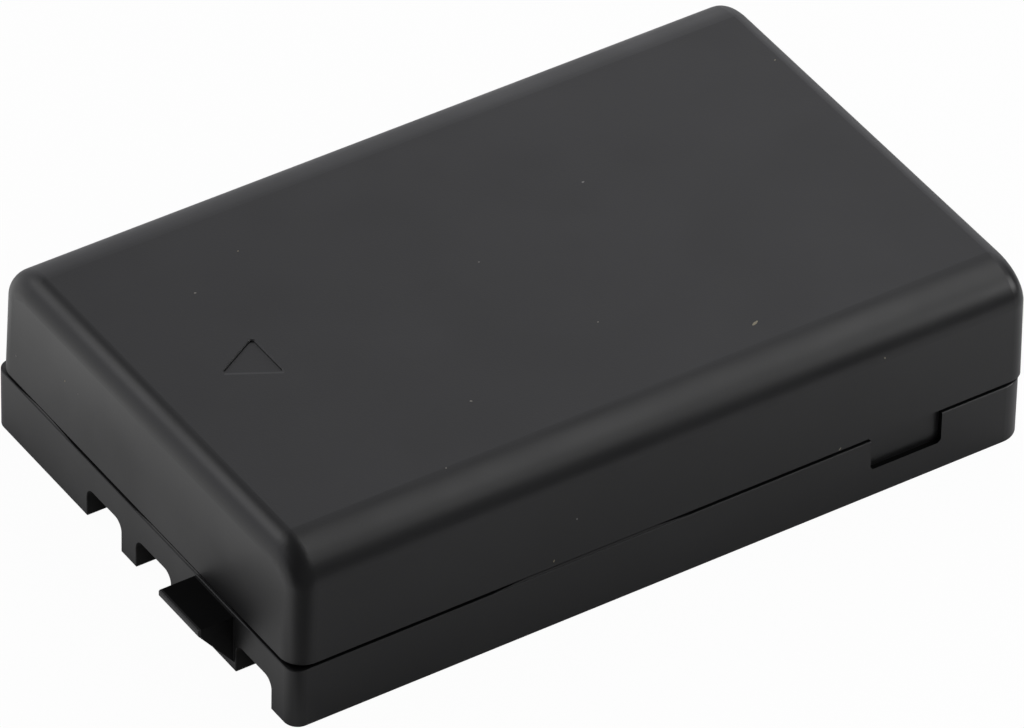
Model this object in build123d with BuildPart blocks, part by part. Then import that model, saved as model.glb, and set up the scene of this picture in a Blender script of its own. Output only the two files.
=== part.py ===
from build123d import *
import math
import os

# Camera battery pack: two moulded halves around two flat cells in series and their protection board.
# Millimetres. Origin at the middle of the underside, +X from the terminal end to the plain end,
# -Y the front long side, +Z up.

os.makedirs("parts", exist_ok=True)

# Bought-in cells
cell_length = 47.0
cell_width = 32.8
cell_thickness = 5.2
cell_side_radius = 2.0
cell_end_radius = 0.35
gasket_length = 5.0
gasket_width = 2.4
gasket_thickness = 0.3
pole_length = 4.0
pole_width = 1.8
pole_height = 0.5

# Packing round the cells
cell_side_gap = 0.35
tape_thickness = 0.2
tape_margin = 2.4
cover_pad_thickness = 0.4
cover_pad_margin = 3.5
end_pad_thickness = 0.75
end_pad_margin = 4.0
insulator_thickness = 0.2
insulator_gap = 0.6
insulator_margin = 0.5
window_clearance = 0.15

# Moulded housing
wall = 1.0
seam_height = 4.65
seam_gap = 0.2
seam_edge_chamfer = 0.05
long_edge_width = 3.3
long_edge_height = 2.45
terminal_end_radius = 1.6
plain_end_radius = 1.2
tray_terminal_corner_radius = 1.0
tray_plain_corner_radius = 1.7
bottom_edge_radius = 0.12
terminal_end_draft = 2.1
plain_end_draft = 0.5
side_draft = 0.7
cover_step = 0.06
cover_shift_x = 0.02
tongue_inset = 0.55
tongue_height = 0.9
tongue_clearance = 0.06

# Welded lands on the tray's rim, which close the gap under the cover
land_ramp = 2.5
front_land_inset = 14.5
front_land_length = 14.8
end_land_inset = 5.35
end_land_length = 13.6
back_land_inset = 2.75
back_land_length = 6.85

# Insertion mark on the cover
mark_depth = 0.15
mark_length = 3.4
mark_width = 3.85
mark_from_end = 6.28
mark_offset_y = 0.73
mark_corner_radius = 0.2
mark_rim_chamfer = 0.07

# Contact slots: a row of places from the front side, of which the second holds the hook
slot_numbers = (3, 2, 0)
hook_number = 1
slot_pitch = 5.9
slot_row_inset = 4.548
slot_width = 4.2
slot_height = 2.4
slot_corner_radius = 0.8
slot_wall = 0.9
slot_roof = 0.8

# Keying hook on the terminal end
hook_offset = -1.37
hook_width = 4.6
hook_reach = 2.65
hook_drop = 0.15
hook_lip = 0.42
hook_lip_radius = 0.12
hook_foot = 0.7

# Latch pocket in the front rim
pocket_length = 5.4
pocket_from_end = 6.65
pocket_floor = 2.2
pocket_depth = 0.42
pocket_corner_radius = 0.35

# Protection board and its seats
board_setback = 1.15
board_thickness = 0.8
cell_to_board = 3.3
board_headroom = 0.3
board_end_gap = 0.6
guide_grip = 0.8
guide_wall = 0.8
guide_gap = 0.08
guide_rim_gap = 0.3
rib_y = 9.0
rib_length = 4.0
rib_thickness = 0.8
rib_drop = 1.6

# Contact plates and nickel strips
plate_thickness = 0.3
plate_width = 3.2
plate_clearance = 0.06
plate_recess = 0.4
plate_overlap = 2.2
plate_corner = 0.4
strip_thickness = 0.15
strip_width = 1.5
strip_bend_radius = 0.4
strip_foot = 2.0
negative_run = 5.8
negative_rise = 0.45
weld_inset = 1.4
positive_weld_length = 4.0
link_leg_width = 3.0
link_fold = 1.6
link_weld_length = 2.2
midpoint_weld_length = 2.4
midpoint_weld_gap = 0.5

# Parts soldered to the board: places along the board and above its lower edge
control_length = 2.9
control_width = 1.6
control_height = 1.1
control_y = -2.4
control_rise = 6.2
control_lead_count = 3
switch_length = 4.4
switch_width = 3.0
switch_height = 1.0
switch_y = 4.2
switch_rise = 5.4
switch_lead_count = 4
lead_pitch = 0.95
lead_width = 0.4
lead_length = 0.7
lead_thickness = 0.2
chip_length = 1.6
chip_width = 0.8
resistor_height = 0.45
resistor_rise = 3.6
resistor_inset = 2.1
resistor_count = 4
capacitor_height = 0.8
capacitor_rise = 2.9
capacitor_inset = 2.9
capacitor_count = 3
chip_pitch = 2.4
fuse_length = 3.2
fuse_width = 1.6
fuse_height = 0.6
fuse_inset = 2.7
fuse_rise = 6.2
thermistor_inset = 4.5
thermistor_rise = 1.6

# Sizes that follow
inner_length = board_setback + board_thickness + cell_to_board + cell_length + end_pad_thickness
inner_width = cell_width + 2 * cell_side_gap
inner_height = 2 * cell_thickness + tape_thickness + cover_pad_thickness
body_length = inner_length + 2 * wall
body_width = inner_width + 2 * wall
body_height = inner_height + 2 * wall

tray_top = seam_height - seam_gap / 2
cover_base = seam_height + seam_gap / 2
tongue_top = tray_top + tongue_height
roof_under = body_height - wall

terminal_end = -body_length / 2
front_side = -body_width / 2
board_outer = terminal_end + wall + board_setback
board_inner = board_outer + board_thickness
slot_back = board_inner + plate_thickness
lid_face = board_inner + cell_to_board
cell_middle_x = lid_face + cell_length / 2
pole_face = lid_face - gasket_thickness - pole_height

lower_base = wall
lower_top = lower_base + cell_thickness
upper_base = lower_top + tape_thickness
upper_top = upper_base + cell_thickness
lower_middle = lower_base + cell_thickness / 2
upper_middle = upper_base + cell_thickness / 2

board_bottom = slot_height + slot_roof
board_top = roof_under - board_headroom
board_length = inner_width - 2 * board_end_gap

slot_row_start = front_side + slot_row_inset
slot_centres = [slot_row_start + number * slot_pitch for number in slot_numbers]
hook_y = slot_row_start + hook_number * slot_pitch + hook_offset

positive_weld_y = cell_width / 2 - weld_inset
positive_run = positive_weld_y - positive_weld_length
link_leg_start = cell_width / 2 - weld_inset
link_leg_end = link_leg_start - link_leg_width
midpoint_weld_y = link_leg_end - midpoint_weld_gap
midpoint_run = midpoint_weld_y - midpoint_weld_length


def moulded_block(length, width, height, edge_width, edge_height):
    """Block over the seam with drafted walls and elliptical long upper edges."""
    corner = (cover_shift_x, 0, cover_base)
    lean = math.tan(math.radians(side_draft))
    edge_start = math.atan(lean * edge_height / edge_width)
    shoulder = height - edge_height
    edge_foot = shoulder + edge_height * math.sin(edge_start)
    roof_half = width / 2 - lean * edge_foot - edge_width * math.cos(edge_start)
    with BuildPart() as block:
        # Cross section, whose walls run into the rounded edges without a crease
        with BuildSketch(Plane(corner, x_dir=(0, 1, 0), z_dir=(1, 0, 0))):
            with BuildLine():
                edge = EllipticalCenterArc(
                    (roof_half, shoulder),
                    edge_width,
                    edge_height,
                    math.degrees(edge_start),
                    arc_size=90 - math.degrees(edge_start),
                )
                Line((0, height), edge @ 1)
                Polyline(edge @ 0, (width / 2, 0), (0, 0))
                mirror(about=Plane.YZ)
            make_face()
        extrude(amount=length, both=True)
        # Side view, with each end's own draft
        with BuildSketch(Plane(corner, x_dir=(1, 0, 0), z_dir=(0, -1, 0))):
            with BuildLine():
                Polyline(
                    (-length / 2, 0),
                    (length / 2, 0),
                    (length / 2 - height * math.tan(math.radians(plain_end_draft)), height),
                    (-length / 2 + height * math.tan(math.radians(terminal_end_draft)), height),
                    close=True,
                )
            make_face()
        extrude(amount=width, both=True, mode=Mode.INTERSECT)
    return block.part


# Upper cover
cavity = moulded_block(
    inner_length, inner_width, roof_under - cover_base, long_edge_width - wall, long_edge_height - wall
)
with BuildPart() as upper_cover:
    add(
        moulded_block(
            body_length - 2 * cover_step,
            body_width - 2 * cover_step,
            body_height - cover_base,
            long_edge_width,
            long_edge_height,
        )
    )
    for place, radius in ((0, terminal_end_radius), (-1, plain_end_radius)):
        rim_edges = upper_cover.faces().sort_by(Axis.Z)[0].edges()
        fillet(upper_cover.faces().sort_by(Axis.X)[place].edges() - rim_edges, radius)
    chamfer(upper_cover.faces().sort_by(Axis.Z)[0].edges(), seam_edge_chamfer)
    add(cavity, mode=Mode.SUBTRACT)
    # Rebate over the tray's tongue
    with BuildSketch(Plane.XY.offset(cover_base)):
        rebate_inset = tongue_inset - tongue_clearance
        RectangleRounded(
            body_length - 2 * rebate_inset,
            body_width - 2 * rebate_inset,
            terminal_end_radius - rebate_inset,
        )
    extrude(amount=tongue_top - cover_base, mode=Mode.SUBTRACT)
    # Rib pairs that hold the board's upper edge
    with BuildSketch(Plane.XY.offset(roof_under)):
        rib_offset = (rib_thickness + board_thickness) / 2 + guide_gap
        for side in (-1, 1):
            for face in (-1, 1):
                with Locations(((board_outer + board_inner) / 2 + face * rib_offset, side * rib_y)):
                    Rectangle(rib_thickness, rib_length)
    extrude(amount=-rib_drop)
    # Debossed triangle that points to the terminal end
    with BuildSketch(Plane.XY.offset(body_height)) as mark:
        tip = terminal_end + cover_shift_x + mark_from_end
        with BuildLine():
            Polyline(
                (tip, mark_offset_y),
                (tip + mark_length, mark_offset_y - mark_width / 2),
                (tip + mark_length, mark_offset_y + mark_width / 2),
                close=True,
            )
        make_face()
        fillet(mark.vertices(), mark_corner_radius)
    extrude(amount=-mark_depth, mode=Mode.SUBTRACT)
    chamfer(upper_cover.faces().sort_by(Axis.Z)[-1].inner_wires()[0].edges(), mark_rim_chamfer)
upper_cover.part.label = "upper_cover"
export_step(upper_cover.part, "parts/upper_cover.step")

# Lower tray
with BuildPart() as lower_tray:
    with BuildSketch() as tray_outline:
        Rectangle(body_length, body_width)
        fillet(tray_outline.vertices().group_by(Axis.X)[0], tray_terminal_corner_radius)
        fillet(tray_outline.vertices().group_by(Axis.X)[-1], tray_plain_corner_radius)
    extrude(amount=tray_top)
    fillet(lower_tray.faces().sort_by(Axis.Z)[0].edges(), bottom_edge_radius)
    chamfer(lower_tray.faces().sort_by(Axis.Z)[-1].edges(), seam_edge_chamfer)
    with BuildSketch(Plane.XY.offset(wall)):
        Rectangle(inner_length, inner_width)
    extrude(amount=tray_top - wall, mode=Mode.SUBTRACT)
    # Tongue inside the rim
    with BuildSketch(Plane.XY.offset(tray_top)):
        RectangleRounded(
            body_length - 2 * tongue_inset,
            body_width - 2 * tongue_inset,
            terminal_end_radius - tongue_inset,
        )
        Rectangle(inner_length, inner_width, mode=Mode.SUBTRACT)
    extrude(amount=tongue_height)
    # Welded lands with ramped ends, set back as far as the cover is
    front_rim = Plane.XZ.offset(-front_side - cover_step)
    terminal_rim = Plane.YZ.offset(terminal_end + cover_step)
    for rim, inward, land_start, land_length in (
        (front_rim, -1, terminal_end + front_land_inset, front_land_length),
        (terminal_rim, 1, front_side + end_land_inset, end_land_length),
        (terminal_rim, 1, -front_side - back_land_inset - back_land_length, back_land_length),
    ):
        with BuildSketch(rim):
            with BuildLine():
                Polyline(
                    (land_start, tray_top),
                    (land_start + land_length, tray_top),
                    (land_start + land_length - land_ramp, cover_base),
                    (land_start + land_ramp, cover_base),
                    close=True,
                )
            make_face()
        extrude(amount=inward * (tongue_inset - cover_step))
    # Housings of the contact slots, which also carry the board
    housing_length = slot_back + slot_wall - terminal_end - wall
    with BuildSketch(Plane.XY.offset(wall)):
        with Locations([(terminal_end + wall + housing_length / 2, y) for y in slot_centres]):
            Rectangle(housing_length, slot_width + 2 * slot_wall)
    extrude(amount=board_bottom - wall)
    # Guides for the board's two ends
    guide_length = board_thickness + 2 * (guide_gap + guide_wall)
    guide_reach = board_end_gap + guide_grip
    guide_top = tray_top - guide_rim_gap
    guide_places = [
        ((board_outer + board_inner) / 2, side * (inner_width - guide_reach) / 2) for side in (-1, 1)
    ]
    with BuildSketch(Plane.XY.offset(wall)):
        with Locations(guide_places):
            Rectangle(guide_length, guide_reach)
    extrude(amount=guide_top - wall)
    with BuildSketch(Plane.XY.offset(board_bottom)):
        with Locations(guide_places):
            Rectangle(board_thickness + 2 * guide_gap, guide_reach)
    extrude(amount=guide_top - board_bottom, mode=Mode.SUBTRACT)
    # Contact slots, open to the end and to the underside
    with BuildSketch(Plane.YZ.offset(terminal_end)) as slot_row:
        with Locations([(y, slot_height / 2) for y in slot_centres]):
            Rectangle(slot_width, slot_height)
        fillet(slot_row.vertices().group_by(Axis.Y)[-1], slot_corner_radius)
    extrude(amount=slot_back - terminal_end, mode=Mode.SUBTRACT)
    # Slits through which the contact plates rise to the board
    slit_thickness = plate_thickness + plate_clearance
    with BuildSketch(Plane.XY.offset(slot_height - slot_corner_radius)):
        with Locations([(slot_back - slit_thickness / 2, y) for y in slot_centres]):
            Rectangle(slit_thickness, plate_width + 2 * plate_clearance)
    extrude(amount=slot_corner_radius + slot_roof, mode=Mode.SUBTRACT)
    # Keying hook: flat on top, with a thin lip, and sloped underneath
    with BuildSketch(Plane.XZ.offset(-hook_y)) as hook:
        hook_root = terminal_end + wall / 2
        hook_tip = terminal_end - hook_reach
        hook_top = tray_top - hook_drop
        with BuildLine():
            Polyline(
                (hook_root, hook_top),
                (hook_tip, hook_top),
                (hook_tip, hook_top - hook_lip),
                (terminal_end, hook_foot),
                (hook_root, hook_foot),
                close=True,
            )
        make_face()
        fillet(hook.vertices().group_by(Axis.X)[0], hook_lip_radius)
    extrude(amount=hook_width / 2, both=True)
    # Latch pocket, open up to the seam
    with BuildSketch(Plane.XZ.offset(-front_side)) as pocket:
        pocket_middle = -terminal_end - pocket_from_end - pocket_length / 2
        with Locations((pocket_middle, (pocket_floor + tray_top) / 2)):
            Rectangle(pocket_length, tray_top - pocket_floor)
        fillet(pocket.vertices().group_by(Axis.Y)[0], pocket_corner_radius)
    extrude(amount=-pocket_depth, mode=Mode.SUBTRACT)
lower_tray.part.label = "lower_tray"
export_step(lower_tray.part, "parts/lower_tray.step")

# Cells, each a sealed can with an insulated rivet pole on its lid
for cell, middle in (("cell_lower", lower_middle), ("cell_upper", upper_middle)):
    with BuildPart() as can:
        with BuildSketch(Plane.YZ.offset(lid_face)):
            with Locations((0, middle)):
                RectangleRounded(cell_width, cell_thickness, cell_side_radius)
        extrude(amount=cell_length)
        ends = can.faces().filter_by(Axis.X)
        fillet(ends.edges(), cell_end_radius)
    can.part.label = f"{cell}_can"
    export_step(can.part, f"parts/{cell}_can.step")

    with BuildPart() as gasket:
        with BuildSketch(Plane.YZ.offset(lid_face)):
            with Locations((0, middle)):
                RectangleRounded(gasket_length, gasket_width, gasket_width / 3)
        extrude(amount=-gasket_thickness)
    gasket.part.label = f"{cell}_gasket"
    export_step(gasket.part, f"parts/{cell}_gasket.step")

    with BuildPart() as pole:
        with BuildSketch(Plane.YZ.offset(lid_face - gasket_thickness)):
            with Locations((0, middle)):
                RectangleRounded(pole_length, pole_width, pole_width / 3)
        extrude(amount=-pole_height)
    pole.part.label = f"{cell}_pole"
    export_step(pole.part, f"parts/{cell}_pole.step")

# Double sided tape between the cells
with BuildPart() as cell_tape:
    with BuildSketch(Plane((cell_middle_x, 0, lower_top))):
        Rectangle(cell_length - 2 * tape_margin, cell_width - 2 * tape_margin)
    extrude(amount=tape_thickness)
cell_tape.part.label = "cell_tape"
export_step(cell_tape.part, "parts/cell_tape.step")

# Foam between the upper cell and the cover's roof
with BuildPart() as cover_pad:
    with BuildSketch(Plane((cell_middle_x, 0, upper_top))):
        Rectangle(cell_length - 2 * cover_pad_margin, cell_width - 2 * cover_pad_margin)
    extrude(amount=cover_pad_thickness)
cover_pad.part.label = "cover_pad"
export_step(cover_pad.part, "parts/cover_pad.step")

# Foam between the lower cell and the tray's plain end
with BuildPart() as end_pad:
    with BuildSketch(Plane((lid_face + cell_length + end_pad_thickness / 2, 0, wall))):
        Rectangle(end_pad_thickness, cell_width - 2 * end_pad_margin)
    extrude(amount=tray_top - wall)
end_pad.part.label = "end_pad"
export_step(end_pad.part, "parts/end_pad.step")

# Insulating paper over both lids, with a window round each pole
with BuildPart() as lid_insulator:
    with BuildSketch(Plane.YZ.offset(lid_face)):
        insulator_bottom = lower_base + insulator_margin
        insulator_top = upper_top - insulator_margin
        insulator_start = -link_leg_end + insulator_gap
        insulator_end = positive_run - insulator_gap
        insulator_middle = (insulator_start + insulator_end) / 2
        with Locations((insulator_middle, (insulator_bottom + insulator_top) / 2)):
            Rectangle(insulator_end - insulator_start, insulator_top - insulator_bottom)
        with Locations((0, lower_middle), (0, upper_middle)):
            Rectangle(
                gasket_length + 2 * window_clearance,
                gasket_width + 2 * window_clearance,
                mode=Mode.SUBTRACT,
            )
    extrude(amount=-insulator_thickness)
lid_insulator.part.label = "lid_insulator"
export_step(lid_insulator.part, "parts/lid_insulator.step")

# Protection board, with its upper corners cut to clear the cover's rounded edges
with BuildPart() as protection_board:
    with BuildSketch(Plane.YZ.offset(board_outer)) as board_outline:
        with Locations((0, (board_bottom + board_top) / 2)):
            Rectangle(board_length, board_top - board_bottom)
        fillet(board_outline.vertices().group_by(Axis.Y)[-1], long_edge_height)
    extrude(amount=board_thickness)
protection_board.part.label = "protection_board"
export_step(protection_board.part, "parts/protection_board.step")

# Contact plates: the lower part closes the back of a slot, the upper part is soldered to the board
for terminal, y in zip(("terminal_positive", "terminal_sense", "terminal_negative"), slot_centres):
    with BuildPart() as plate:
        with BuildSketch(Plane.YZ.offset(board_inner)) as plate_outline:
            plate_top = board_bottom + plate_overlap
            with Locations((y, (plate_recess + plate_top) / 2)):
                Rectangle(plate_width, plate_top - plate_recess)
            chamfer(plate_outline.vertices(), plate_corner)
        extrude(amount=plate_thickness)
    plate.part.label = terminal
    export_step(plate.part, f"parts/{terminal}.step")


def bent_strip(route, middle):
    """Nickel strip that follows a route in plan, with its width upright about a middle height."""
    with BuildPart() as strip:
        with BuildSketch(Plane.XY.offset(middle - strip_width / 2)):
            with BuildLine():
                FilletPolyline(*route, radius=strip_bend_radius)
            trace(line_width=strip_thickness)
        extrude(amount=strip_width)
    return strip


pole_line = pole_face - strip_thickness / 2
lid_line = lid_face - strip_thickness / 2
board_line = board_inner + strip_thickness / 2
midpoint_line = pole_line - strip_thickness

negative_strip = bent_strip(
    [
        (pole_line, pole_length / 2),
        (pole_line, -negative_run),
        (board_line, -negative_run),
        (board_line, -negative_run - strip_foot),
    ],
    lower_middle + negative_rise,
)
negative_strip.part.label = "negative_strip"
export_step(negative_strip.part, "parts/negative_strip.step")

positive_strip = bent_strip(
    [
        (lid_line, positive_weld_y),
        (lid_line, positive_run),
        (board_line, positive_run),
        (board_line, positive_run - strip_foot),
    ],
    upper_middle,
)
positive_strip.part.label = "positive_strip"
export_step(positive_strip.part, "parts/positive_strip.step")

midpoint_strip = bent_strip(
    [
        (midpoint_line, -midpoint_weld_y),
        (midpoint_line, -midpoint_run),
        (board_line, -midpoint_run),
        (board_line, -midpoint_run + strip_foot),
    ],
    upper_middle,
)
midpoint_strip.part.label = "midpoint_strip"
export_step(midpoint_strip.part, "parts/midpoint_strip.step")

# Series link: an arm on the upper pole, and a leg that folds back to the lower lid
with BuildPart() as series_link:
    with BuildSketch(Plane.XZ.offset(link_leg_end)):
        with BuildLine():
            FilletPolyline(
                (pole_line, upper_middle),
                (pole_line, lower_middle + link_fold),
                (lid_line, lower_middle + link_fold),
                (lid_line, lower_middle + link_fold - link_weld_length),
                radius=strip_bend_radius / 2,
            )
        trace(line_width=strip_thickness)
    extrude(amount=link_leg_width)
    with BuildSketch(Plane.YZ.offset(pole_face)):
        arm_start = -link_leg_start
        arm_end = pole_length / 2
        with Locations(((arm_start + arm_end) / 2, upper_middle)):
            Rectangle(arm_end - arm_start, strip_width)
    extrude(amount=-strip_thickness)
series_link.part.label = "series_link"
export_step(series_link.part, "parts/series_link.step")

board_face = Plane.YZ.offset(board_inner)


def leaded_chip(y, rise, length, width, height, leads):
    """Chip package on the board's inner face, with a row of flat leads on each long side."""
    with BuildPart() as chip:
        with BuildSketch(board_face):
            with Locations((y, board_bottom + rise)):
                Rectangle(length, width)
        extrude(amount=height)
        with BuildSketch(board_face):
            with Locations((y, board_bottom + rise)):
                with GridLocations(lead_pitch, width + lead_length, leads, 2):
                    Rectangle(lead_width, lead_length)
        extrude(amount=lead_thickness)
    return chip


control_chip = leaded_chip(
    control_y, control_rise, control_length, control_width, control_height, control_lead_count
)
control_chip.part.label = "control_chip"
export_step(control_chip.part, "parts/control_chip.step")

switch_chip = leaded_chip(
    switch_y, switch_rise, switch_length, switch_width, switch_height, switch_lead_count
)
switch_chip.part.label = "switch_chip"
export_step(switch_chip.part, "parts/switch_chip.step")


def plain_chips(places, rise, length, width, height):
    """Plain chip parts in a row on the board's inner face."""
    with BuildPart() as chips:
        with BuildSketch(board_face):
            with Locations([(y, board_bottom + rise) for y in places]):
                Rectangle(length, width)
        extrude(amount=height)
    return chips


resistor_places = [resistor_inset - board_length / 2 + i * chip_pitch for i in range(resistor_count)]
chip_resistors = plain_chips(resistor_places, resistor_rise, chip_length, chip_width, resistor_height)
chip_resistors.part.label = "chip_resistors"
export_step(chip_resistors.part, "parts/chip_resistors.step")

capacitor_places = [board_length / 2 - capacitor_inset - i * chip_pitch for i in range(capacitor_count)]
chip_capacitors = plain_chips(capacitor_places, capacitor_rise, chip_length, chip_width, capacitor_height)
chip_capacitors.part.label = "chip_capacitors"
export_step(chip_capacitors.part, "parts/chip_capacitors.step")

chip_fuse = plain_chips([board_length / 2 - fuse_inset], fuse_rise, fuse_length, fuse_width, fuse_height)
chip_fuse.part.label = "chip_fuse"
export_step(chip_fuse.part, "parts/chip_fuse.step")

thermistor = plain_chips(
    [board_length / 2 - thermistor_inset], thermistor_rise, chip_length, chip_width, capacitor_height
)
thermistor.part.label = "thermistor"
export_step(thermistor.part, "parts/thermistor.step")
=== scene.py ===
import math
import random

import bmesh
import bpy
from bpy.props import FloatProperty, FloatVectorProperty, IntProperty, PointerProperty
from mathutils import Matrix, Vector


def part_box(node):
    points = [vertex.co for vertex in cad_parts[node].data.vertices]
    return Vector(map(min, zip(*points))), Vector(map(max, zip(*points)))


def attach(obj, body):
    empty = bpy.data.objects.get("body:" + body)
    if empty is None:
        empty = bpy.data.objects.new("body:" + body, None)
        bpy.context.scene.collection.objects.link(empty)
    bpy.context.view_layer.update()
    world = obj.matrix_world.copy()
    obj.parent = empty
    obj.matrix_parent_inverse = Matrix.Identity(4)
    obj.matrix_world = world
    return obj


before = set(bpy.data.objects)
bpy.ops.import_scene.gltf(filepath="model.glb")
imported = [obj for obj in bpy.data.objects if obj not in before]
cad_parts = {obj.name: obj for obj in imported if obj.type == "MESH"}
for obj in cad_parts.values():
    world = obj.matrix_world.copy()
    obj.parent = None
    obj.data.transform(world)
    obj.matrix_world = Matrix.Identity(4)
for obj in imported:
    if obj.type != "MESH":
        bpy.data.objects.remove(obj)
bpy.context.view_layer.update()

bl_info = {
    "name": "Camera Battery",
    "version": (1, 0, 0),
    "blender": (4, 5, 0),
    "location": "3D View > Sidebar > Battery",
    "description": "Finishes, dust and studio for a camera battery pack",
    "category": "Object",
}

MM = 0.001
WHITE = (1.0, 1.0, 1.0)

# Where the frame puts the pieces that others are set against
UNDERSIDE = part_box("lower_tray")[0].z
TERMINAL_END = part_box("upper_cover")[0].x
COVER_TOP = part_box("upper_cover")[1].z
BOARD_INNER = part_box("protection_board")[1].x

# Sockets of a Mix node that mixes colours
MIX_SHARE = 0
MIX_COLOURS = slice(6, 8)
MIX_RESULT = 2

# Hook, contact slots and pocket, whose plastic gets painted shade there, darker and less glossy, in
# millimetres:
# low corner, high corner and share of painted shade, with the width of the fade round them
SHADED_RECESSES = (
    ((-29.9, -12.0, 0.0), (-27.6, 0.0, 6.0), 1.0),
    ((-27.4, -17.0, 0.1), (-22.0, 17.0, 2.6), 0.7),
    ((15.3, -17.70, 2.0), (21.0, -17.38, 4.5), 1.0),
)
SHADED_RECESS_FADE = 0.04

# Lower edges of the insertion mark's rim, in millimetres: start, end and width of the painted highlight line
# along each, with the width of its fade and how far it reaches above and below the cover's top
MARK_RIM_HIGHLIGHTS = (
    ((-21.12, 0.50), (-17.92, -1.29), 0.12),
    ((-17.84, -1.12), (-17.84, 2.58), 0.06),
)
RIM_FADE = 0.05
RIM_REACH = 0.2

# Picture's size in pixels, width of the camera's sensor in millimetres,
# and the nearest and farthest that the camera sees in metres
PICTURE_WIDTH = 1024
PICTURE_HEIGHT = 728
SENSOR_WIDTH = 36.0
CLIP_START = 0.01
CLIP_END = 20.0

# Specks of dust and nicks: the pixel that shows each on the cover, its length and its width in millimetres
SPECKS = (
    ((195, 293), 0.17, 0.12),
    ((238, 251), 0.12, 0.08),
    ((583, 182), 0.18, 0.13),
    ((471, 401), 0.18, 0.12),
    ((755, 323), 0.52, 0.20),
    ((598, 322), 0.12, 0.08),
    ((479, 262), 0.12, 0.08),
    ((775, 60), 0.15, 0.10),
    ((446, 468), 0.14, 0.09),
    ((16, 356), 0.16, 0.11),
    ((65, 381), 0.17, 0.11),
    ((78, 394), 0.10, 0.07),
    ((885, 358), 0.15, 0.10),
    ((577, 519), 0.14, 0.10),
    ((554, 561), 0.22, 0.10),
    ((840, 449), 0.26, 0.10),
)
# Most that a speck turns either way in radians, and how far in and out its surface varies
SPECK_TURN = 0.6
SPECK_UNEVENNESS = (0.75, 1.2)

# Floor: half its side and its drop under the battery in metres, and the share of white that the camera gets
FLOOR_REACH = 2.0
FLOOR_DROP = 0.01 * MM
FLOOR_SEEN = 0.97
# Shares of white, which the plastic mirrors as painted light and shade, and of the painted shadow patch along
# the floor: axis, start and end in millimetres, and the values there
MIRRORED_RAMPS = (
    ("X", -24, -33, 0.0, 0.70),
    ("Y", -24, -15, 0.0, 1.0),
    ("Y", 12, 30, 1.0, 2.3),
)
SHADOW_PATCH_RAMPS = (
    ("X", -23, -30, 0.0, 1.0),
    ("Y", -16, -22, 0.0, 1.0),
)

# Light from all round: axis of its direction, start and end on that axis, and the values there
WALL_RAMPS = (
    ("Y", 0.0, 0.5, 0.0, 1.0),
    ("Z", 0.66, 0.76, 1.0, 0.0),
    ("X", -0.15, -0.7, 1.0, 1.6),
)
GLOW_RAMPS = (("Y", -0.4, -0.85, 0.0, 1.0),)
# Share of plain white in what the camera sees of the surround, and in what the plastic mirrors of it
SURROUND_SEEN = 1.0
SURROUND_MIRRORED = 0.03

# Soft lamps, in millimetres: the studio's setting for the power, size, place, target and the light's colour
LAMPS = (
    ("panel", (240, 200), (223, 185, 124), (94, -8, -65), "cool"),
    ("overhead", (400, 150), (170, -75, 314), (20, -5, 6), "white"),
    ("strip", (240, 150), (168, 15, 328), (17, -5, 12), "white"),
    ("front", (80, 80), (94, -100, 132), (25, -17, 12), "white"),
    ("edge", (300, 300), (-227, 386, 419), (-26, 0, 6), "white"),
    ("side", (40, 40), (90, -60, 60), (27, -27, 0), "white"),
)


def colour_property(name, description, default):
    """A colour that a user can change."""
    return FloatVectorProperty(
        name=name, description=description, subtype="COLOR", size=3, min=0.0, max=1.0, default=default
    )


def length_property(name, description, default):
    """A length in metres that a user can change."""
    return FloatProperty(
        name=name, description=description, unit="LENGTH", min=0.0, precision=6, default=default
    )


def share_property(name, description, default):
    """A share from nothing to all that a user can change."""
    return FloatProperty(
        name=name, description=description, subtype="FACTOR", min=0.0, max=1.0, default=default
    )


def power_property(name, description, default):
    """A lamp's power that a user can change."""
    return FloatProperty(
        name=name, description=description, unit="POWER", min=0.0, precision=4, default=default
    )


def angle_property(name, description, degrees):
    """An angle that a user can change."""
    return FloatProperty(
        name=name, description=description, unit="ROTATION", default=math.radians(degrees)
    )


class HousingFinish(bpy.types.PropertyGroup):
    """Moulded plastic of the cover and the tray"""

    colour: colour_property("Plastic", "Colour of the moulded plastic", (0.0046, 0.0046, 0.0050))
    haze: colour_property("Haze", "Colour where the plastic has a dull film", (0.0075, 0.0075, 0.0080))
    # Painted shade: the darker colour of the hook, contact slots and pocket
    clean: colour_property("Clean", "Colour in the recesses that nothing touches", (0.0015, 0.0015, 0.0016))
    # Painted highlight: the light line along the insertion mark's rim
    rim_highlight_colour: colour_property("Worn", "Colour of the mark's worn rim", (0.034, 0.034, 0.035))
    roughness: share_property("Roughness", "Roughness of the clean moulded surface", 0.34)
    smudge: share_property("Smudge", "Roughness that handling adds", 0.05)
    matt: share_property("Matt", "Roughness that the terminal end's texture adds", 0.13)
    film_size: length_property("Film size", "Width of a patch of film", 11 * MM)
    smudge_size: length_property("Smudge size", "Width of a handling smudge", 7 * MM)
    grain_size: length_property("Grain size", "Width of a grain of the mould's texture", 0.14 * MM)
    grain_depth: length_property("Grain depth", "Depth of the mould's texture", 0.004 * MM)


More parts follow.
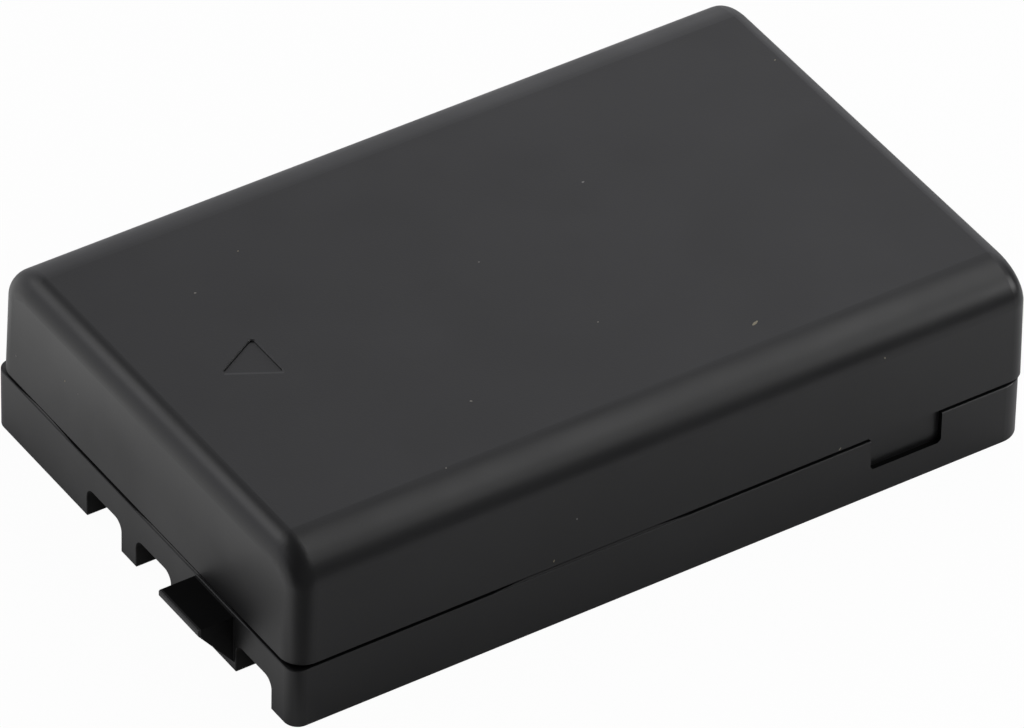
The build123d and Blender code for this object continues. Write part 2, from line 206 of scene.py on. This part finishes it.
class InnerFinish(bpy.types.PropertyGroup):
    """Cells, strips, board and packing inside the housing"""

    can: colour_property("Can", "Drawn aluminium of the cells", (0.72, 0.73, 0.74))
    gasket: colour_property("Gasket", "Moulded ring under a pole", (0.75, 0.75, 0.72))
    nickel: colour_property("Nickel", "Poles, strips and series link", (0.66, 0.64, 0.60))
    gold: colour_property("Gold", "Plated contact plates", (0.83, 0.62, 0.24))
    board: colour_property("Board", "Lacquer on the protection board", (0.03, 0.20, 0.09))
    chip: colour_property("Chip", "Moulded chip bodies", (0.03, 0.03, 0.032))
    ceramic: colour_property("Ceramic", "Capacitors and thermistor", (0.42, 0.31, 0.20))
    paper: colour_property("Paper", "Insulating paper over the lids", (0.50, 0.44, 0.30))
    tape: colour_property("Tape", "Double sided tape between the cells", (0.80, 0.80, 0.78))
    foam: colour_property("Foam", "Foam packing", (0.08, 0.08, 0.085))


class DustSetup(bpy.types.PropertyGroup):
    """Specks that lie on the housing"""

    colour: colour_property("Dust", "Colour of the specks", (0.26, 0.255, 0.25))
    warm: colour_property("Warm dust", "Colour of the warmest specks", (0.30, 0.27, 0.19))
    thickness: length_property("Thickness", "Thickness of a speck, half of it sunk in", 0.02 * MM)
    seed: IntProperty(name="Seed", description="Which random shapes the specks have", default=7)


class StudioSetup(bpy.types.PropertyGroup):
    """Floor, lamps and camera"""

    azimuth: angle_property("Azimuth", "Camera's turn about the upright axis", -33.83)
    elevation: angle_property("Elevation", "Camera's height as an angle", 39.144)
    roll: angle_property("Roll", "Camera's turn about its own axis", 1.409)
    distance: length_property("Distance", "From the camera to the battery", 716.9 * MM)
    lens: FloatProperty(name="Lens", description="Focal length", unit="CAMERA", default=398.7)
    aim: FloatVectorProperty(
        name="Aim",
        description="Point in the middle of the picture's width",
        subtype="TRANSLATION",
        size=3,
        default=(-0.026 * MM, 0.018 * MM, 6.0 * MM),
    )
    aim_drop: length_property("Aim drop", "How far the picture's middle lies under that point", 0.678 * MM)
    floor: colour_property("Floor", "Colour of the floor", (0.92, 0.92, 0.92))
    # Painted shadow: the darker floor colour by the front left corner
    shadow_patch: colour_property("Card", "Colour of the floor by the front left corner", (0.42, 0.42, 0.42))
    cool: colour_property("Cool", "Colour of the light from behind", (0.96, 0.96, 1.0))
    surround: FloatProperty(name="Surround", description="Strength of the light all round", default=0.13)
    wall: FloatProperty(name="Wall", description="Strength of the wall behind", default=0.55)
    glow: FloatProperty(name="Glow", description="Strength of the light low in front", default=0.1)
    panel: power_property("Panel", "Power of the large panel behind on the right", 0.068)
    overhead: power_property("Overhead", "Power of the large lamp above", 0.18)
    strip: power_property("Strip", "Power of the narrow lamp above", 0.13)
    front: power_property("Front", "Power of the small lamp in front on the right", 0.007)
    edge: power_property("Edge", "Power of the lamp that lights the terminal end's upper edge", 0.40)
    side: power_property("Side", "Power of the small lamp on the right", 0.022)


def start_material(name):
    """An empty node material with a principled shader joined to its output."""
    material = bpy.data.materials.new(name)
    material.use_nodes = True
    tree = material.node_tree
    tree.nodes.clear()
    output = tree.nodes.new("ShaderNodeOutputMaterial")
    shader = tree.nodes.new("ShaderNodeBsdfPrincipled")
    tree.links.new(shader.outputs["BSDF"], output.inputs["Surface"])
    return material, tree, shader


def object_place(tree, stretch=(1.0, 1.0, 1.0)):
    """Object coordinates, drawn out along the axes whose stretch is small."""
    place = tree.nodes.new("ShaderNodeTexCoord")
    mapping = tree.nodes.new("ShaderNodeMapping")
    mapping.inputs["Scale"].default_value = stretch
    tree.links.new(place.outputs["Object"], mapping.inputs["Vector"])
    return mapping.outputs["Vector"]


def axes_of(tree, vector):
    """The X, Y and Z of a vector."""
    parts = tree.nodes.new("ShaderNodeSeparateXYZ")
    tree.links.new(vector, parts.inputs["Vector"])
    return parts.outputs


def noise(tree, size, detail=2.0, stretch=(1.0, 1.0, 1.0)):
    """Soft random pattern with patches about as wide as size."""
    texture = tree.nodes.new("ShaderNodeTexNoise")
    texture.inputs["Scale"].default_value = 1.0 / size
    texture.inputs["Detail"].default_value = detail
    tree.links.new(object_place(tree, stretch), texture.inputs["Vector"])
    return texture.outputs["Fac"]


def cells(tree, size):
    """Cell pattern with cells about as wide as size."""
    texture = tree.nodes.new("ShaderNodeTexVoronoi")
    texture.inputs["Scale"].default_value = 1.0 / size
    tree.links.new(object_place(tree), texture.inputs["Vector"])
    return texture.outputs["Distance"]


def spread(tree, value, start, end, low=0.0, high=1.0):
    """Value from start to end turned into low to high."""
    node = tree.nodes.new("ShaderNodeMapRange")
    node.interpolation_type = "SMOOTHSTEP"
    node.inputs["From Min"].default_value = start
    node.inputs["From Max"].default_value = end
    node.inputs["To Min"].default_value = low
    node.inputs["To Max"].default_value = high
    tree.links.new(value, node.inputs["Value"])
    return node.outputs["Result"]


def mixed_colour(tree, share, first, second):
    """First colour turning into the second with the share."""
    node = tree.nodes.new("ShaderNodeMix")
    node.data_type = "RGBA"
    for socket, colour in zip(node.inputs[MIX_COLOURS], (first, second)):
        if hasattr(colour, "is_output"):
            tree.links.new(colour, socket)
        else:
            socket.default_value = (*colour, 1.0)
    tree.links.new(share, node.inputs[MIX_SHARE])
    return node.outputs[MIX_RESULT]


def bump(tree, shader, height, depth):
    """Relief of the given depth on the shader."""
    node = tree.nodes.new("ShaderNodeBump")
    node.inputs["Strength"].default_value = 1.0
    node.inputs["Distance"].default_value = depth
    tree.links.new(height, node.inputs["Height"])
    tree.links.new(node.outputs["Normal"], shader.inputs["Normal"])


def joined(tree, operation, result, *others):
    """Values and numbers joined one after another by a Math node's operation."""
    for other in others:
        node = tree.nodes.new("ShaderNodeMath")
        node.operation = operation
        for socket, value in zip(node.inputs, (result, other)):
            if hasattr(value, "is_output"):
                tree.links.new(value, socket)
            else:
                socket.default_value = value
        result = node.outputs["Value"]
    return result


def ramps(tree, vector, table, unit=1.0):
    """Product of ramps along a vector's axes, from a table with starts and ends in the unit."""
    axes = axes_of(tree, vector)
    values = [
        spread(tree, axes[axis], start * unit, end * unit, low, high) for axis, start, end, low, high in table
    ]
    return joined(tree, "MULTIPLY", *values)


def between(tree, value, first, last, fade):
    """All between first and last, and nothing a fade outside them, as two shares to multiply."""
    rise = spread(tree, value, first - fade, first)
    fall = spread(tree, value, last, last + fade, 1.0, 0.0)
    return rise, fall


def box_share(tree, low, high, share):
    """A share inside a box whose corners are in millimetres, and nothing a little way outside it."""
    shares = [share]
    for axis, start, end in zip(axes_of(tree, object_place(tree)), low, high):
        shares += between(tree, axis, start * MM, end * MM, SHADED_RECESS_FADE * MM)
    return joined(tree, "MULTIPLY", *shares)


def line_share(tree, start, end, width):
    """All along a line on the cover's top, fading over its width, with its places in millimetres."""
    run = (Vector(end) - Vector(start)) * MM
    along = run.normalized()
    half_width = width * MM / 2
    reach = RIM_REACH * MM
    shares = []
    for direction, first, last in (
        ((along.x, along.y, 0.0), 0.0, run.length),
        ((-along.y, along.x, 0.0), -half_width, half_width),
        ((0.0, 0.0, 1.0), COVER_TOP - reach, COVER_TOP + reach),
    ):
        node = tree.nodes.new("ShaderNodeVectorMath")
        node.operation = "DOT_PRODUCT"
        node.inputs[1].default_value = direction
        tree.links.new(object_place(tree), node.inputs[0])
        offset = Vector(direction).dot((start[0] * MM, start[1] * MM, 0.0))
        shares += between(tree, node.outputs["Value"], offset + first, offset + last, RIM_FADE * MM)
    return joined(tree, "MULTIPLY", *shares)


def tinted(colour, share):
    """The colour made darker or lighter by a share."""
    return tuple(min(1.0, part * share) for part in colour)


def moulded_plastic(finish):
    """Near black plastic with a fine mould texture, smudges and a thin film, with painted shade, darker and
    less glossy, in the hook, slots and pocket, and a painted highlight along the mark's rim.
    """
    plastic_ior = 1.49
    gloss, recess_shade_gloss = 0.5, 0.12
    matt_start, matt_end = TERMINAL_END + 0.3 * MM, TERMINAL_END + 0.1 * MM
    material, tree, shader = start_material("moulded_plastic")
    film = spread(tree, noise(tree, finish.film_size, detail=4.0), start=0.42, end=0.72)
    colour = mixed_colour(tree, film, tuple(finish.colour), tuple(finish.haze))
    # Painted highlight: a light line along the mark's lower rim edges
    rim = joined(tree, "MAXIMUM", *[line_share(tree, *line) for line in MARK_RIM_HIGHLIGHTS])
    colour = mixed_colour(tree, rim, colour, tuple(finish.rim_highlight_colour))
    # Painted shade: the hook, contact slots and pocket get a darker colour and less gloss
    recess_shade = joined(tree, "MAXIMUM", *[box_share(tree, *corners) for corners in SHADED_RECESSES])
    colour = mixed_colour(tree, recess_shade, colour, tuple(finish.clean))
    tree.links.new(colour, shader.inputs["Base Color"])
    specular = spread(tree, recess_shade, 0.0, 1.0, gloss, recess_shade_gloss)
    tree.links.new(specular, shader.inputs["Specular IOR Level"])
    smudge = noise(tree, finish.smudge_size, detail=5.0)
    smudged = finish.roughness + finish.smudge
    rough = spread(tree, smudge, start=0.35, end=0.68, low=finish.roughness, high=smudged)
    length_axis = axes_of(tree, object_place(tree))["X"]
    matt = spread(tree, length_axis, matt_start, matt_end, 0.0, finish.matt)
    tree.links.new(joined(tree, "ADD", rough, matt), shader.inputs["Roughness"])
    bump(tree, shader, noise(tree, finish.grain_size, detail=3.0), finish.grain_depth)
    shader.inputs["IOR"].default_value = plastic_ior
    return material


def brushed_metal(name, colour, rough, stretch):
    """Metal with fine streaks along one axis and duller patches."""
    streak_size, streak_depth = 0.25 * MM, 0.003 * MM
    patch_size = 4 * MM
    material, tree, shader = start_material(name)
    streaks = noise(tree, streak_size, detail=3.0, stretch=stretch)
    tone = mixed_colour(tree, streaks, tinted(colour, 0.86), tinted(colour, 1.06))
    tree.links.new(tone, shader.inputs["Base Color"])
    patches = noise(tree, patch_size, detail=3.0)
    uneven = spread(tree, patches, start=0.35, end=0.7, low=rough - 0.06, high=rough + 0.1)
    tree.links.new(uneven, shader.inputs["Roughness"])
    bump(tree, shader, streaks, streak_depth)
    shader.inputs["Metallic"].default_value = 1.0
    return material


def speckled(name, colour, size, rough, depth):
    """Dull material with small lighter and darker specks."""
    material, tree, shader = start_material(name)
    grains = noise(tree, size, detail=3.0)
    light = spread(tree, grains, start=0.35, end=0.65)
    tone = mixed_colour(tree, light, tinted(colour, 0.8), tinted(colour, 1.25))
    tree.links.new(tone, shader.inputs["Base Color"])
    uneven = spread(tree, grains, start=0.3, end=0.7, low=rough - 0.05, high=rough + 0.08)
    tree.links.new(uneven, shader.inputs["Roughness"])
    bump(tree, shader, grains, depth)
    return material


def lacquered_board(colour):
    """Lacquer over copper tracks, which show as lighter raised bands."""
    track_pitch, track_height = 6 * MM, 0.02 * MM
    grain_size = 0.4 * MM
    material, tree, shader = start_material("board_laminate")
    bands = tree.nodes.new("ShaderNodeTexWave")
    bands.bands_direction = "Z"
    bands.inputs["Scale"].default_value = 1.0 / track_pitch
    bands.inputs["Distortion"].default_value = 3.0
    tree.links.new(object_place(tree), bands.inputs["Vector"])
    tracks = spread(tree, bands.outputs["Fac"], start=0.55, end=0.62)
    tone = mixed_colour(tree, tracks, colour, tinted(colour, 1.7))
    tree.links.new(tone, shader.inputs["Base Color"])
    uneven = spread(tree, noise(tree, grain_size), start=0.3, end=0.7, low=0.28, high=0.4)
    tree.links.new(uneven, shader.inputs["Roughness"])
    bump(tree, shader, tracks, track_height)
    return material


def chip_epoxy(colour, lead):
    """Moulded chip body whose foot, next to the board, is tinned lead."""
    lead_top = BOARD_INNER + 0.2 * MM
    lead_fade = 0.04 * MM
    grain_size, grain_depth = 0.2 * MM, 0.01 * MM
    material, tree, shader = start_material("chip_body")
    height_axis = axes_of(tree, object_place(tree))["X"]
    foot = spread(tree, height_axis, lead_top, lead_top + lead_fade, 1.0, 0.0)
    grains = spread(tree, noise(tree, grain_size), start=0.3, end=0.7)
    body = mixed_colour(tree, grains, tinted(colour, 0.8), tinted(colour, 1.3))
    tree.links.new(mixed_colour(tree, foot, body, lead), shader.inputs["Base Color"])
    tree.links.new(foot, shader.inputs["Metallic"])
    tree.links.new(spread(tree, grains, 0.0, 1.0, low=0.45, high=0.58), shader.inputs["Roughness"])
    bump(tree, shader, grains, grain_depth)
    return material


def pale_dust(setup):
    """Dry dust, from grey to a warm buff."""
    patch_size = 1.5 * MM
    grain_size, grain_depth = 0.05 * MM, 0.01 * MM
    material, tree, shader = start_material("pale_dust")
    warmth = spread(tree, noise(tree, patch_size), start=0.35, end=0.65)
    tone = mixed_colour(tree, warmth, tuple(setup.colour), tuple(setup.warm))
    tree.links.new(tone, shader.inputs["Base Color"])
    tree.links.new(spread(tree, warmth, 0.0, 1.0, low=0.8, high=0.95), shader.inputs["Roughness"])
    bump(tree, shader, noise(tree, grain_size), grain_depth)
    return material


def foam_cells(colour):
    """Closed cell foam."""
    pore_size, pore_depth = 0.25 * MM, 0.05 * MM
    material, tree, shader = start_material("foam")
    pores = cells(tree, pore_size)
    light = spread(tree, pores, start=0.1, end=0.7)
    tone = mixed_colour(tree, light, tinted(colour, 0.6), tinted(colour, 1.4))
    tree.links.new(tone, shader.inputs["Base Color"])
    uneven = spread(tree, pores, start=0.0, end=0.8, low=0.75, high=0.95)
    tree.links.new(uneven, shader.inputs["Roughness"])
    bump(tree, shader, pores, pore_depth)
    return material


def finish_nodes(material, *names):
    """Gives the named frame nodes one material."""
    for name in names:
        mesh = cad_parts[name].data
        mesh.materials.clear()
        mesh.materials.append(material)


def new_piece(name, shape):
    """Object in the scene made from a finished bmesh."""
    mesh = bpy.data.meshes.new(name)
    shape.to_mesh(mesh)
    shape.free()
    piece = bpy.data.objects.new(name, mesh)
    bpy.context.scene.collection.objects.link(piece)
    return piece


def camera_axes(setup):
    """The camera's right, up and back directions, and its place."""
    back = Vector(
        (
            math.sin(setup.azimuth) * math.cos(setup.elevation),
            -math.cos(setup.azimuth) * math.cos(setup.elevation),
            math.sin(setup.elevation),
        )
    )
    level = Vector((math.cos(setup.azimuth), math.sin(setup.azimuth), 0.0))
    upright = back.cross(level)
    right = math.cos(setup.roll) * level + math.sin(setup.roll) * upright
    up = back.cross(right)
    middle = Vector(setup.aim) - up * setup.aim_drop
    return right, up, back, middle + back * setup.distance


def seen_point(setup, pixel):
    """Point and outward direction where the cover shows at a pixel of the picture."""
    right, up, back, eye = camera_axes(setup)
    step = SENSOR_WIDTH / setup.lens / PICTURE_WIDTH
    across = (pixel[0] - PICTURE_WIDTH / 2) * step
    down = (pixel[1] - PICTURE_HEIGHT / 2) * step
    sight = right * across - up * down - back
    found, place, outward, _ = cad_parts["upper_cover"].ray_cast(eye, sight)
    if not found:
        raise RuntimeError(f"the cover doesn't show at pixel {pixel}")
    return place, outward


def seen_share(tree, camera_share, glossy_share):
    """How much of the plain white a ray gets: camera and transmission rays one share, glossy rays another."""
    path = tree.nodes.new("ShaderNodeLightPath")
    rays = (
        ("Is Camera Ray", camera_share),
        ("Is Transmission Ray", camera_share),
        ("Is Glossy Ray", glossy_share),
    )
    shares = [joined(tree, "MULTIPLY", path.outputs[ray], share) for ray, share in rays]
    return joined(tree, "MAXIMUM", *shares)


def lay_floor(setup):
    """White floor that keeps a soft shadow, with a painted shadow patch by the front left corner, and whose
    white in the plastic's image is graded as painted light and shade.
    """
    shape = bmesh.new()
    bmesh.ops.create_grid(shape, x_segments=2, y_segments=2, size=FLOOR_REACH)
    bmesh.ops.translate(shape, vec=(0.0, 0.0, UNDERSIDE - FLOOR_DROP), verts=shape.verts)
    floor = new_piece("floor", shape)
    material = bpy.data.materials.new("floor_white")
    material.use_nodes = True
    tree = material.node_tree
    tree.nodes.clear()
    output = tree.nodes.new("ShaderNodeOutputMaterial")
    matt = tree.nodes.new("ShaderNodeBsdfDiffuse")
    white = tree.nodes.new("ShaderNodeEmission")
    white.inputs["Strength"].default_value = 1.0
    mix = tree.nodes.new("ShaderNodeMixShader")
    place = object_place(tree)
    # Painted light and shade: the white that glossy rays get is graded along the floor, and a painted shadow
    # patch darkens the floor by the front left corner
    mirrored = ramps(tree, place, MIRRORED_RAMPS, MM)
    shadow_patch = ramps(tree, place, SHADOW_PATCH_RAMPS, MM)
    tree.links.new(mixed_colour(tree, shadow_patch, tuple(setup.floor), tuple(setup.shadow_patch)), matt.inputs["Color"])
    tree.links.new(seen_share(tree, FLOOR_SEEN, mirrored), mix.inputs["Fac"])
    tree.links.new(matt.outputs["BSDF"], mix.inputs[1])
    tree.links.new(white.outputs["Emission"], mix.inputs[2])
    tree.links.new(mix.outputs["Shader"], output.inputs["Surface"])
    floor.data.materials.append(material)


def light_world(scene, setup):
    """Surround that looks white and lights the battery softly, with a brighter wall behind."""
    world = bpy.data.worlds.new("surround")
    world.use_nodes = True
    tree = world.node_tree
    tree.nodes.clear()
    output = tree.nodes.new("ShaderNodeOutputWorld")
    direction = tree.nodes.new("ShaderNodeTexCoord").outputs["Generated"]
    wall = joined(tree, "MULTIPLY", ramps(tree, direction, WALL_RAMPS), setup.wall)
    glow = joined(tree, "MULTIPLY", ramps(tree, direction, GLOW_RAMPS), setup.glow)
    light = tree.nodes.new("ShaderNodeBackground")
    light.inputs["Color"].default_value = (*setup.cool, 1.0)
    tree.links.new(joined(tree, "ADD", wall, glow, setup.surround), light.inputs["Strength"])
    white = tree.nodes.new("ShaderNodeBackground")
    white.inputs["Color"].default_value = (*WHITE, 1.0)
    white.inputs["Strength"].default_value = 1.0
    mix = tree.nodes.new("ShaderNodeMixShader")
    tree.links.new(seen_share(tree, SURROUND_SEEN, SURROUND_MIRRORED), mix.inputs["Fac"])
    tree.links.new(light.outputs["Background"], mix.inputs[1])
    tree.links.new(white.outputs["Background"], mix.inputs[2])
    tree.links.new(mix.outputs["Shader"], output.inputs["Surface"])
    scene.world = world


def hang_lamp(scene, name, power, size, place, target, colour):
    """Rectangular soft lamp that faces a target, with its size and places in millimetres."""
    data = bpy.data.lights.new(name, "AREA")
    data.shape = "RECTANGLE"
    data.size, data.size_y = (side * MM for side in size)
    data.energy = power
    data.color = colour
    lamp = bpy.data.objects.new(name, data)
    lamp.location = Vector(place) * MM
    lamp.rotation_euler = (Vector(target) - Vector(place)).to_track_quat("-Z", "Y").to_euler()
    lamp.visible_camera = False
    scene.collection.objects.link(lamp)


def place_camera(scene, setup):
    """Long lens above the front left corner."""
    right, up, back, eye = camera_axes(setup)
    data = bpy.data.cameras.new("camera")
    data.lens = setup.lens
    data.sensor_fit = "HORIZONTAL"
    data.sensor_width = SENSOR_WIDTH
    data.clip_start = CLIP_START
    data.clip_end = CLIP_END
    camera = bpy.data.objects.new("camera", data)
    turn = Matrix((right, up, back)).transposed().to_4x4()
    camera.matrix_world = Matrix.Translation(eye) @ turn
    scene.collection.objects.link(camera)
    scene.camera = camera


class BATTERY_OT_finish_housing(bpy.types.Operator):
    """Give the cover and the tray their moulded plastic"""

    bl_idname = "battery.finish_housing"
    bl_label = "Finish Housing"

    def execute(self, context):
        plastic = moulded_plastic(context.scene.battery_housing)
        finish_nodes(plastic, "upper_cover", "lower_tray")
        return {"FINISHED"}


class BATTERY_OT_finish_cells(bpy.types.Operator):
    """Give the cells their drawn cans and their gaskets"""

    bl_idname = "battery.finish_cells"
    bl_label = "Finish Cells"

    def execute(self, context):
        finish = context.scene.battery_inner
        can = brushed_metal("cell_can", tuple(finish.can), rough=0.34, stretch=(0.08, 1.0, 1.0))
        gasket = speckled(
            "gasket_plastic", tuple(finish.gasket), size=0.2 * MM, rough=0.5, depth=0.004 * MM
        )
        finish_nodes(can, "cell_lower_can", "cell_upper_can")
        finish_nodes(gasket, "cell_lower_gasket", "cell_upper_gasket")
        return {"FINISHED"}


class BATTERY_OT_finish_conductors(bpy.types.Operator):
    """Give the poles and strips their nickel and the contact plates their gold"""

    bl_idname = "battery.finish_conductors"
    bl_label = "Finish Conductors"

    def execute(self, context):
        finish = context.scene.battery_inner
        nickel = brushed_metal("nickel", tuple(finish.nickel), rough=0.32, stretch=(1.0, 0.1, 1.0))
        gold = brushed_metal("contact_gold", tuple(finish.gold), rough=0.24, stretch=(1.0, 1.0, 0.06))
        finish_nodes(nickel, "cell_lower_pole", "cell_upper_pole", "series_link")
        finish_nodes(nickel, "positive_strip", "negative_strip", "midpoint_strip")
        finish_nodes(gold, "terminal_positive", "terminal_sense", "terminal_negative")
        return {"FINISHED"}


class BATTERY_OT_finish_board(bpy.types.Operator):
    """Give the protection board and the parts on it their finishes"""

    bl_idname = "battery.finish_board"
    bl_label = "Finish Board"

    def execute(self, context):
        finish = context.scene.battery_inner
        finish_nodes(lacquered_board(tuple(finish.board)), "protection_board")
        chip = chip_epoxy(tuple(finish.chip), tuple(finish.nickel))
        finish_nodes(chip, "control_chip", "switch_chip", "chip_resistors", "chip_fuse")
        ceramic = speckled(
            "chip_ceramic", tuple(finish.ceramic), size=0.12 * MM, rough=0.55, depth=0.006 * MM
        )
        finish_nodes(ceramic, "chip_capacitors", "thermistor")
        return {"FINISHED"}


class BATTERY_OT_finish_packing(bpy.types.Operator):
    """Give the paper, tape and foam round the cells their finishes"""

    bl_idname = "battery.finish_packing"
    bl_label = "Finish Packing"

    def execute(self, context):
        finish = context.scene.battery_inner
        paper = speckled(
            "insulating_paper", tuple(finish.paper), size=0.3 * MM, rough=0.78, depth=0.01 * MM
        )
        tape = speckled("adhesive_tape", tuple(finish.tape), size=0.5 * MM, rough=0.6, depth=0.008 * MM)
        finish_nodes(paper, "lid_insulator")
        finish_nodes(tape, "cell_tape")
        finish_nodes(foam_cells(tuple(finish.foam)), "cover_pad", "end_pad")
        return {"FINISHED"}


class BATTERY_OT_lay_dust(bpy.types.Operator):
    """Lay the specks of dust and the small nicks on the cover"""

    bl_idname = "battery.lay_dust"
    bl_label = "Lay Dust"

    def execute(self, context):
        setup = context.scene.battery_dust
        draw = random.Random(setup.seed)
        shape = bmesh.new()
        for pixel, length, width in SPECKS:
            place, outward = seen_point(context.scene.battery_studio, pixel)
            turn = Matrix.Rotation(draw.uniform(-SPECK_TURN, SPECK_TURN), 4, "Z")
            size = Matrix.Diagonal((length * MM, width * MM, setup.thickness, 1.0))
            facing = outward.to_track_quat("Z", "X").to_matrix().to_4x4()
            flake = bmesh.ops.create_icosphere(shape, subdivisions=2, radius=0.5)["verts"]
            for vert in flake:
                vert.co *= draw.uniform(*SPECK_UNEVENNESS)
            matrix = Matrix.Translation(place) @ facing @ turn @ size
            bmesh.ops.transform(shape, matrix=matrix, verts=flake)
        piece = new_piece("dust_specks", shape)
        piece.data.materials.append(pale_dust(setup))
        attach(piece, "root")
        return {"FINISHED"}


class BATTERY_OT_build_stage(bpy.types.Operator):
    """Lay the floor, hang the lamps and set up the camera"""

    bl_idname = "battery.build_stage"
    bl_label = "Build Stage"

    def execute(self, context):
        setup = context.scene.battery_studio
        context.scene.view_settings.view_transform = "Standard"
        lay_floor(setup)
        light_world(context.scene, setup)
        colours = {"cool": setup.cool, "white": WHITE}
        for lamp, size, place, target, colour in LAMPS:
            power = getattr(setup, lamp)
            hang_lamp(context.scene, f"{lamp}_lamp", power, size, place, target, colours[colour])
        place_camera(context.scene, setup)
        return {"FINISHED"}


class BATTERY_PT_sidebar(bpy.types.Panel):
    """Steps that finish the battery and build its studio"""

    bl_label = "Camera Battery"
    bl_idname = "BATTERY_PT_sidebar"
    bl_space_type = "VIEW_3D"
    bl_region_type = "UI"
    bl_category = "Battery"

    def draw(self, context):
        for step in STEPS:
            self.layout.operator(step.bl_idname)


GROUPS = {
    "battery_housing": HousingFinish,
    "battery_inner": InnerFinish,
    "battery_dust": DustSetup,
    "battery_studio": StudioSetup,
}
STEPS = (
    BATTERY_OT_finish_housing,
    BATTERY_OT_finish_cells,
    BATTERY_OT_finish_conductors,
    BATTERY_OT_finish_board,
    BATTERY_OT_finish_packing,
    BATTERY_OT_lay_dust,
    BATTERY_OT_build_stage,
)


def register():
    """Adds the settings, the steps and the panel to Blender."""
    for group in GROUPS.values():
        bpy.utils.register_class(group)
    for name, group in GROUPS.items():
        setattr(bpy.types.Scene, name, PointerProperty(type=group))
    for step in STEPS:
        bpy.utils.register_class(step)
    bpy.utils.register_class(BATTERY_PT_sidebar)


def unregister():
    """Takes the panel, the steps and the settings out of Blender again."""
    bpy.utils.unregister_class(BATTERY_PT_sidebar)
    for step in reversed(STEPS):
        bpy.utils.unregister_class(step)
    for name in GROUPS:
        delattr(bpy.types.Scene, name)
    for group in reversed(GROUPS.values()):
        bpy.utils.unregister_class(group)


def main():
    """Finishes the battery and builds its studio."""
    register()
    bpy.ops.battery.finish_housing()
    bpy.ops.battery.finish_cells()
    bpy.ops.battery.finish_conductors()
    bpy.ops.battery.finish_board()
    bpy.ops.battery.finish_packing()
    bpy.ops.battery.lay_dust()
    bpy.ops.battery.build_stage()


if __name__ == "__main__":
    main()
